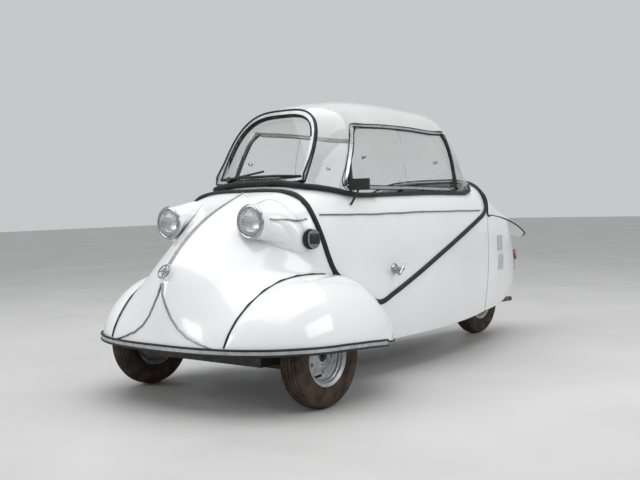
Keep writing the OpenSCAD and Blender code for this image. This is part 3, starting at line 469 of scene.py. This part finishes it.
def wheel(name, node_tyre, node_rim, centre, side, body):
    """One wheel: the tyre's outline is spun round its axle, and so is the rim's."""
    crown = WHEEL_RADIUS
    half = [(0.0, crown), (0.005, crown), (0.0055, crown - 0.005), (0.009, crown - 0.005),
            (0.0095, crown - 0.0004), (0.020, crown - 0.0018), (0.0205, crown - 0.0065),
            (0.0235, crown - 0.007), (0.024, crown - 0.0030), (0.033, crown - 0.0070),
            (0.0335, crown - 0.0115), (0.036, crown - 0.0125), (0.0365, crown - 0.0095),
            (0.0415, crown - 0.0155), (0.0450, crown - 0.0225), (0.0472, crown - 0.0315),
            (0.0485, crown - 0.0345), (0.0490, crown - 0.0460), (0.0478, crown - 0.0585),
            (0.0470, crown - 0.0595), (0.0440, crown - 0.072), (0.0405, crown - 0.080),
            (0.0400, crown - 0.083), (0.0350, 0.1095), (0.0325, 0.1065), (0.0325, 0.1055)]
    section = [(-a, r) for a, r in reversed(half[1:])] + half
    bm = bmesh.new()
    turned(bm, section, centre, steps=120)
    tyre = finished(name + "_tyre", bm, tyre_rubber, body, 28)
    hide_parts(node_tyre)
    dish = [(0.0375, 0.1125), (0.0372, 0.1095), (0.0350, 0.1065), (0.0338, 0.1040), (0.0325, 0.1005),
            (0.0300, 0.0985), (0.0240, 0.0978), (0.0225, 0.0950), (0.0200, 0.0925), (0.0110, 0.0915),
            (0.0090, 0.0885), (0.0060, 0.0850), (0.0050, 0.0700), (0.0068, 0.0560), (0.0110, 0.0440),
            (0.0140, 0.0390), (0.0140, 0.0340), (0.0110, 0.0300), (0.0110, 0.0220), (0.0020, 0.0215)]
    bm = bmesh.new()
    turned(bm, [(a * side, r) for a, r in dish], centre, steps=120)
    bmesh.ops.solidify(bm, geom=bm.faces[:], thickness=0.0018)
    turned(bm, [(-a * side, r) for a, r in dish[:9]] + [(-0.012 * side, 0.088), (-0.004 * side, 0.070),
           (-0.004 * side, 0.020)], centre, steps=96)
    for k in range(5):
        turn = 2 * math.pi * k / 5 + 0.5
        spot = Vector(centre) + Vector((side * 0.0045, 0.062 * math.sin(turn), 0.062 * math.cos(turn)))
        peg(bm, spot, (side, 0, 0), 0.0085, 0.007, 6)
        peg(bm, spot, (side, 0, 0), 0.0045, 0.011, 12)
    rim = finished(name + "_rim", bm, silver, body, 35)
    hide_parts(node_rim)
    bm = bmesh.new()
    hub = [(0.002, 0.0195), (0.012, 0.0195), (0.016, 0.0165), (0.017, 0.010), (0.017, 0.0)]
    turned(bm, [(a * side, r) for a, r in hub], centre, steps=48)
    finished(name + "_hub_cap", bm, chassis, body, 40)
    bm = bmesh.new()
    out = Vector((0, -0.55, -0.83)).normalized()
    stem = Vector(centre) + Vector((side * 0.008, 0, 0)) + out * 0.0885
    lean = Vector((side, 0, 0)) * 0.9 - out * 0.42
    peg(bm, stem, lean, 0.0042, 0.022, 14)
    peg(bm, stem + lean.normalized() * 0.021, lean, 0.0056, 0.012, 14, 0.0046)
    finished(name + "_valve", bm, rubber, body, 40)


wheel("left", "tyre_left", "rim_left", (WHEEL_X, AXLE_Y, WHEEL_RADIUS), 1, "wheel_front_left")
wheel("right", "tyre_right", "rim_right", (-WHEEL_X, AXLE_Y, WHEEL_RADIUS), -1,
      "wheel_front_right")
wheel("rear", "tyre_rear", "rim_rear", (0.0, REAR_Y, WHEEL_RADIUS), 1, "wheel_rear")

# ---- trim on the painted skin
shell_skin = surface("canopy_shell")
tube("belt_moulding_nose", snapped(surface("nose", "headlamp_shells"),
                                   mm((320, -1085, 722), (345, -1010, 721), (368, -930, 720)), 0.002),
     0.0036, worn_nickel, "body")
tube("belt_moulding_door", snapped(shell_skin, mm((375, -852, 738), (410, -600, 734), (412, -300, 731),
                                                  (402, 60, 727), (380, 340, 723), (352, 520, 720)), 0.002),
     0.0036, worn_nickel, "canopy")


def rub_line(q, out=0.0, lift=0.0):
    """A point of the fenders' lower edge, from the nose (0) round to the body's side (180)."""
    a, b = math.radians(min(q, 90)), math.radians(max(q - 90, 0))
    if q <= 90:
        x = (0.604 + out) * math.sin(a) ** 0.769
        y = 0.060 - (0.441 + out) * math.cos(a) ** 0.769
    else:
        x = 0.356 + (0.248 + out) * math.cos(b) ** 0.833
        y = 0.060 + 0.462 * math.sin(b) ** 0.833
    heights = [(-0.39, 0.249), (-0.2, 0.249), (0.0, 0.243), (0.165, 0.233), (0.3, 0.22), (0.414, 0.206),
               (0.54, 0.196)]
    for (y0, z0), (y1, z1) in zip(heights, heights[1:]):
        if y <= y1 or y1 == 0.54:
            z = z0 + (z1 - z0) * (y - y0) / (y1 - y0)
            break
    return Vector((x, y + AXLE_Y, z - 0.004 + lift))


for name, lift, out, radius in (("upper", 0.0105, 0.0045, 0.0046), ("lower", -0.0105, 0.0045, 0.0046)):
    right_half = [rub_line(q, out, lift) for q in range(2, 120, 4)]
    left_half = [Vector((-p.x, p.y, p.z)) for p in reversed(right_half)]
    tube("rub_bead_" + name, left_half + right_half, radius, rubber, "body")
for side, word in SIDES:
    under = [rub_line(q, 0.001, -0.004) for q in range(112, 172, 5)]
    edge_path = [Vector((side * p.x, p.y, p.z + 0.008)) for p in under]
    tube("fender_edge_bead_" + word, edge_path, 0.0042, rubber, "body")

# a plain ring badge where the ridge meets the two sweeps
bm = bmesh.new()
spot = Vector((0, -1.353, 0.528))
face_out = Vector((0, -0.84, 0.54)).normalized()
for radius, thick in ((0.028, 0.0030), (0.012, 0.002)):
    loop = [(0.007 + thick * math.cos(t * math.pi / 6), radius + thick * math.sin(t * math.pi / 6))
            for t in range(13)]
    turned(bm, loop, spot, face_out, 64, (1, 0, 0))
bar_along = face_out.cross(Vector((1, 0, 0))).normalized()
peg(bm, spot + face_out * 0.007 - Vector((0.028, 0, 0)), (1, 0, 0), 0.002, 0.056, 10)
peg(bm, spot + face_out * 0.007 - bar_along * 0.028, bar_along, 0.002, 0.056, 10)
finished("ring_badge", bm, worn_nickel, "body", 50)

# the door's T grip: a rounded bar on the handle's neck, over a round rose
low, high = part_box("canopy_fittings")
bm = bmesh.new()
turned(bm, [(0.0, 0.0235), (0.0025, 0.0235), (0.0045, 0.021), (0.0060, 0.0150), (0.0065, 0.0)],
       (high.x - 0.0425, -0.382, 0.482), (1, 0, 0), 48)
grip_way = Vector((0.1, 0.62, 0.78)).normalized()
grip = Vector((high.x - 0.006, -0.382, 0.482))
peg(bm, grip - grip_way * 0.024, grip_way, 0.0095, 0.048, 28, 0.0070)
bmesh.ops.create_uvsphere(bm, u_segments=20, v_segments=12, radius=0.0095,
                          matrix=Matrix.Translation(grip - grip_way * 0.024))
bmesh.ops.create_uvsphere(bm, u_segments=20, v_segments=12, radius=0.0070,
                          matrix=Matrix.Translation(grip + grip_way * 0.024))
finished("door_grip", bm, chrome, "canopy", 50)

# a thicker rubber at the foot of the windscreen sweeps down to the side windows
ring = rim_loops("canopy_seal")[0]
behind = next(i for i, p in enumerate(ring) if p.y > -0.45)
ring = ring[behind:] + ring[:behind]
tube("screen_foot_rubber", [p + Vector((0, -0.003, 0.006)) for p in ring if p.y < -0.45], 0.0110, rubber,
     "canopy")

# domed rivets hold the dome's foot down behind the seats
bm = bmesh.new()
foot = [p for p in rim_loops("canopy_seal")[0] if p.y > 0.30]
for a, b in zip(foot, foot[1:]):
    bmesh.ops.create_uvsphere(bm, u_segments=12, v_segments=6, radius=0.0042,
                              matrix=Matrix.Translation((a + b) / 2))
finished("foot_rivets", bm, chrome, "canopy", 60)

# ---- headlamps: bowl, bulb, fluted glass and a rolled bezel
fluted, shader, place = start("fluted_lamp_glass", IOR=1.35, Roughness=0.03, Transmission_Weight=0.9,
                              Coat_Weight=0.7, Coat_Roughness=0.02)
link(fluted, blotch(fluted, place, 60, tone("#eef3f5"), tone("#f8fbfc")), shader.inputs["Base Color"])
flute = add(fluted, "ShaderNodeTexWave", {"Vector": place, "Scale": 42.0, "Distortion": 0.4},
            wave_type="BANDS", bands_direction="X")
flute_bump = add(fluted, "ShaderNodeBump", {"Height": flute.outputs["Fac"], "Strength": 0.7,
                                            "Distance": 0.0016})
link(fluted, flute_bump.outputs["Normal"], shader.inputs["Normal"])
for side, word in SIDES:
    centre = (side * LAMP_X, LAMP_Y, LAMP_Z)
    bm = bmesh.new()
    turned(bm, [(0.0075, 0.0570), (0.0095, 0.0560), (0.0150, 0.0440), (0.0190, 0.0280), (0.0205, 0.0120),
                (0.0208, 0.0)], centre, (0, -1, 0), 72)
    bmesh.ops.solidify(bm, geom=bm.faces[:], thickness=0.002)
    lens_glass = finished("lamp_glass_" + word, bm, fluted, "body", 40)
    lens_glass.visible_shadow = False
    if side > 0:
        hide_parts("headlamp_lenses")
    bm = bmesh.new()
    turned(bm, [(0.006, 0.0575), (-0.002, 0.0560), (-0.014, 0.0500), (-0.026, 0.0390), (-0.034, 0.0240),
                (-0.037, 0.0080), (-0.037, 0.0)], centre, (0, -1, 0), 72)
    finished("lamp_bowl_" + word, bm, bowl, "body", 60)
    bm = bmesh.new()
    turned(bm, [(-0.036, 0.006), (-0.012, 0.006), (-0.008, 0.009), (0.000, 0.0095), (0.004, 0.006),
                (0.005, 0.0)], centre, (0, -1, 0), 24)
    finished("lamp_bulb_" + word, bm, lamp_glass, "body", 60)
    bm = bmesh.new()
    turned(bm, [(0.001, 0.0700), (0.0050, 0.0705), (0.0085, 0.0690), (0.0115, 0.0650), (0.0128, 0.0600),
                (0.0115, 0.0572), (0.0085, 0.0565)], centre, (0, -1, 0), 96)
    low_edge = Vector(centre) + Vector((0, -0.008, -0.0685))
    peg(bm, low_edge, (0, -0.7, -0.7), 0.0035, 0.004, 10)
    bezel = finished("lamp_bezel_" + word, bm, chrome, "body", 50)
    if side > 0:
        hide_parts("headlamp_rims")

# ---- side lamps: a black gasket and a black lamp block on each chrome base
for side, word in SIDES:
    bm = bmesh.new()
    face = Matrix.Rotation(math.radians(-14 * side), 3, "Z")
    block(bm, (side * 0.379 - 0.013, -0.938, 0.616), (side * 0.379 + 0.013, -0.892, 0.658), face)
    eased(bm, 0.004, 3)
    finished("side_lamp_block_" + word, bm, black_plastic, "body", 40)

    bm = bmesh.new()
    base = Vector((side * 0.3715, -0.926, 0.636))
    turned(bm, [(-0.003, 0.0350), (0.0050, 0.0350), (0.0065, 0.0335), (0.0065, 0.0)], base, (side, 0, 0), 48)
    bmesh.ops.scale(bm, vec=(1, 1, 1.16), space=Matrix.Translation(-base), verts=bm.verts)
    bmesh.ops.rotate(bm, cent=base, matrix=face, verts=bm.verts)
    finished("side_lamp_gasket_" + word, bm, rubber, "body", 40)

# ---- windscreen and window rubbers
arch_rims = rim_loops("windscreen_frame")
for k, (loop, radius) in enumerate(zip(arch_rims[:2], (0.0058, 0.0045))):
    tube("screen_rubber_%d" % k, loop, radius, rubber, "canopy")
for k, loop in enumerate(arch_rims[2:4]):
    tube("screen_inner_rubber_%d" % k, loop, 0.004, rubber, "canopy")
frame_rims = rim_loops("window_frames")
for k, loop in enumerate(frame_rims[:8]):
    tube("window_line_%d" % k, loop, 0.0021, rubber, "canopy", (loop[0] - loop[-1]).length < 0.02)
pane_skin = surface("window_glass")
frame_skin = surface("window_frames")
for side, word in SIDES:
    front = mm((side * 334, -622, 818), (side * 318, -570, 930), (side * 296, -520, 1040),
               (side * 278, -495, 1108))
    back = mm((side * 330, 275, 812), (side * 318, 262, 900), (side * 300, 240, 1010),
              (side * 280, 210, 1102))
    for part, line in (("front", front), ("back", back)):
        tube("window_post_rubber_%s_%s" % (part, word), snapped(frame_skin, line, 0.0025), 0.0075,
             rubber, "canopy")
    slide = mm((side * 330, -185, 833), (side * 318, -184, 900), (side * 300, -183, 1010),
               (side * 278, -181, 1102))
    tube("sliding_pane_edge_" + word, snapped(pane_skin, slide, 0.0008), 0.0014, alloy, "canopy")
    bm = bmesh.new()
    for y, z in ((-0.505, 0.964), (0.08, 0.952)):
        spot = pane_skin.find_nearest(Vector((side * 0.31, y, z)))[0]
        out = Vector((side, 0, 0.25)).normalized()
        peg(bm, spot, out, 0.008, 0.006, 24)
        peg(bm, spot + out * 0.006, out, 0.0045, 0.008, 20)
        peg(bm, spot + out * 0.013, out, 0.0085, 0.005, 24, 0.0065)
    finished("window_knobs_" + word, bm, chrome, "canopy", 40)

# ---- vents: woven wire over a dark opening
wire, shader, place = start("woven_wire_mesh", Metallic=0.7, Roughness=0.4)
strands = [add(wire, "ShaderNodeTexWave", {"Vector": place, "Scale": 52.0}, wave_type="BANDS",
               bands_direction=way) for way in ("Y", "Z")]
both_ways = add(wire, "ShaderNodeMath", {0: strands[0].outputs["Fac"], 1: strands[1].outputs["Fac"]},
                operation="MAXIMUM")
weave = add(wire, "ShaderNodeValToRGB", {"Fac": both_ways.outputs["Value"]})
weave.color_ramp.elements[0].position = 0.45
weave.color_ramp.elements[1].position = 0.8
weave.color_ramp.elements[0].color = tone("#8b8d8f")
weave.color_ramp.elements[1].color = tone("#eceeef")
link(wire, weave.outputs["Color"], shader.inputs["Base Color"])
nodes["vent_grilles"].data.materials.clear()
nodes["vent_grilles"].data.materials.append(wire)

# ---- tail: black edge bead round the lid, chrome rings on the lamps, a border on the plate
fin_edge = rim_loops("tail_deck")[0]
tube("tail_fin_bead", fin_edge, 0.0042, rubber, "tail", (fin_edge[0] - fin_edge[-1]).length < 0.03)
low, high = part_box("rear_lamps")
bm = bmesh.new()
for side in (1, -1):
    centre = Vector((side * 0.121, (low.y + high.y) / 2 + 0.004, (low.z + high.z) / 2))
    out = Vector((side * 0.42, 0.88, -0.05)).normalized()
    ring = [(0.002 * math.sin(t * math.pi / 6) + 0.003, 0.0295 + 0.002 * math.cos(t * math.pi / 6))
            for t in range(13)]
    turned(bm, ring, centre, out, 48, out.cross(Vector((0, 0, 1))).normalized())
finished("rear_lamp_rings", bm, chrome, "tail", 50)
low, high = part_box("number_plate")
bm = bmesh.new()
block(bm, (low.x - 0.004, low.y - 0.001, low.z - 0.004), (high.x + 0.004, high.y - 0.0008, high.z + 0.004))
eased(bm, 0.0015)
finished("plate_border", bm, black_plastic, "tail", 40)

# ---- seats: padded cushions over black boxes

def pad(name, low, high, crown, lean, pivot, pull=0.012):
    """A crowned cushion whose sides pull in between its corners, with sewn channels across it."""
    bm = bmesh.new()
    block(bm, low, high)
    bmesh.ops.subdivide_edges(bm, edges=bm.edges[:], cuts=11, use_grid_fill=True)
    centre = (Vector(low) + Vector(high)) / 2
    size = (Vector(high) - Vector(low)) / 2
    for v in bm.verts:
        u, w, t = ((v.co.x - centre.x) / size.x, (v.co.y - centre.y) / size.y, (v.co.z - centre.z) / size.z)
        thin = min(range(3), key=lambda k: size[k])
        flat = [(u, w, t)[k] for k in range(3) if k != thin]
        swell = (1 - flat[0] ** 4) * (1 - flat[1] ** 4)
        sign = (u, w, t)[thin]
        channel = 0.5 + 0.5 * math.cos(flat[0] * math.pi * 4)
        v.co[thin] += sign * (crown * swell * (0.75 + 0.25 * channel) - crown)
        for k in range(3):
            if k != thin:
                other = flat[0] if k == [j for j in range(3) if j != thin][1] else flat[1]
                v.co[k] -= ((v.co[k] - centre[k]) / size[k] * pull * (1 - other ** 2)
                            * (1 - abs(sign) ** 2 * 0.4))
    bmesh.ops.rotate(bm, cent=pivot, matrix=Matrix.Rotation(math.radians(lean), 3, "X"), verts=bm.verts)
    piece = subdivided(finished(name, bm, vinyl, "body", 80), 1)
    return piece


front_low, front_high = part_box("seat_front")
rear_low, rear_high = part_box("seat_rear")
squab = pad("driver_cushion", (front_low.x, front_low.y, 0.31), (front_high.x, 0.06, 0.40), 0.010, -4,
            (0, 0, 0.35))
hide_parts("seat_front")
pad("driver_backrest", (front_low.x + 0.01, 0.06, 0.385), (front_high.x - 0.01, 0.135, 0.70), 0.010, -12,
    (0, 0.09, 0.40))
bench = pad("passenger_cushion", (rear_low.x, rear_low.y + 0.01, 0.30), (rear_high.x, 0.42, 0.385), 0.010, -3,
            (0, 0.3, 0.35))
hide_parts("seat_rear")
pad("passenger_backrest", (rear_low.x + 0.01, 0.375, 0.37), (rear_high.x - 0.01, 0.445, 0.70), 0.010, -6,
    (0, 0.42, 0.38))
bm = bmesh.new()
block(bm, (front_low.x + 0.03, front_low.y + 0.03, FLOOR_TOP), (front_high.x - 0.03, 0.04, 0.315))
block(bm, (rear_low.x + 0.03, rear_low.y + 0.04, FLOOR_TOP), (rear_high.x - 0.03, 0.40, 0.305))
eased(bm, 0.008)
finished("seat_boxes", bm, chassis, "body", 40)

# ---- cockpit: rings, faces and needles of three dials
low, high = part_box("dashboard")
bm = bmesh.new()
for x, radius in ((0.0, 0.042), (-0.11, 0.024), (0.10, 0.024)):
    turned(bm, [(0.0, radius), (0.006, radius), (0.009, radius - 0.003), (0.006, radius - 0.006),
                (0.003, radius - 0.007)], (x, high.y, DIAL_Z), (0, 1, 0), 48)
finished("dial_rings", bm, chrome, "body", 50)
bm = bmesh.new()
for x, radius in ((0.0, 0.036), (-0.11, 0.018), (0.10, 0.018)):
    peg(bm, (x, high.y, DIAL_Z), (0, 1, 0), radius, 0.003, 40)
finished("dial_faces", bm, black_plastic, "body", 40)
bm = bmesh.new()
for x, reach in ((0.0, 0.028), (-0.11, 0.014), (0.10, 0.014)):
    block(bm, (x - 0.001, high.y + 0.003, DIAL_Z), (x + 0.001, high.y + 0.0042, DIAL_Z + reach),
          Matrix.Rotation(0.7, 3, "Y"), Vector((x, high.y, DIAL_Z)))
finished("dial_needles", bm, enamel, "body", 40)

# ---- engine: cooling fins
low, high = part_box("engine")
bm = bmesh.new()
for k in range(9):
    z = 0.33 + 0.012 * k
    block(bm, (-0.085, low.y + 0.05, z), (0.085, low.y + 0.21, z + 0.004))
    block(bm, (-0.100, low.y + 0.04, z + 0.004), (0.100, low.y + 0.22, z + 0.0052))
eased(bm, 0.0008, 1)
finished("cooling_fins", bm, casting, "body", 40)

# ---- floor, light and camera
bm = bmesh.new()
bmesh.ops.create_grid(bm, x_segments=1, y_segments=1, size=30)
mesh = bpy.data.meshes.new("floor")
bm.to_mesh(mesh)
bm.free()
mesh.materials.append(pale_floor)
floor = bpy.data.objects.new("floor", mesh)
bpy.context.scene.collection.objects.link(floor)


def softbox(name, place, target, size, power):
    light = bpy.data.lights.new(name, "AREA")
    light.shape = "RECTANGLE"
    light.size, light.size_y = size
    light.energy = power
    lamp = bpy.data.objects.new(name, light)
    lamp.location = place
    lamp.rotation_euler = (Vector(target) - Vector(place)).to_track_quat("-Z", "Y").to_euler()
    bpy.context.scene.collection.objects.link(lamp)


softbox("ceiling_light", (0.0, -0.5, 4.6), (0, 0, 0), (6.0, 6.0), 190)
softbox("front_light", (-3.2, -5.5, 3.0), (0, -0.6, 0.5), (2.6, 2.2), 70)
softbox("side_light", (5.5, 0.5, 3.2), (0, 0, 0.5), (4.0, 2.4), 85)
world = bpy.data.worlds.new("studio")
world.use_nodes = True
world.node_tree.nodes["Background"].inputs["Color"].default_value = tone("#e6e7e8")
world.node_tree.nodes["Background"].inputs["Strength"].default_value = 0.72
bpy.context.scene.world = world
bpy.context.scene.view_settings.view_transform = "Standard"

CAMERA_PLACE = (2.679, -3.713, 0.773)
LENS_MM = 51.92
yaw, pitch, roll = math.radians(39.03), math.radians(2.24), math.radians(-1.57)
ahead = Vector((-math.sin(yaw) * math.cos(pitch), math.cos(yaw) * math.cos(pitch), -math.sin(pitch)))
right = ahead.cross(Vector((0, 0, 1))).normalized()
up = right.cross(ahead)
tilted_right = right * math.cos(roll) + up * math.sin(roll)
tilted_up = up * math.cos(roll) - right * math.sin(roll)
lens = bpy.data.cameras.new("camera")
lens.sensor_width = 36.0
lens.lens = LENS_MM
camera = bpy.data.objects.new("camera", lens)
turn = Matrix((tilted_right, tilted_up, -ahead)).transposed()
camera.matrix_world = Matrix.Translation(CAMERA_PLACE) @ turn.to_4x4()
bpy.context.scene.collection.objects.link(camera)
bpy.context.scene.camera = camera
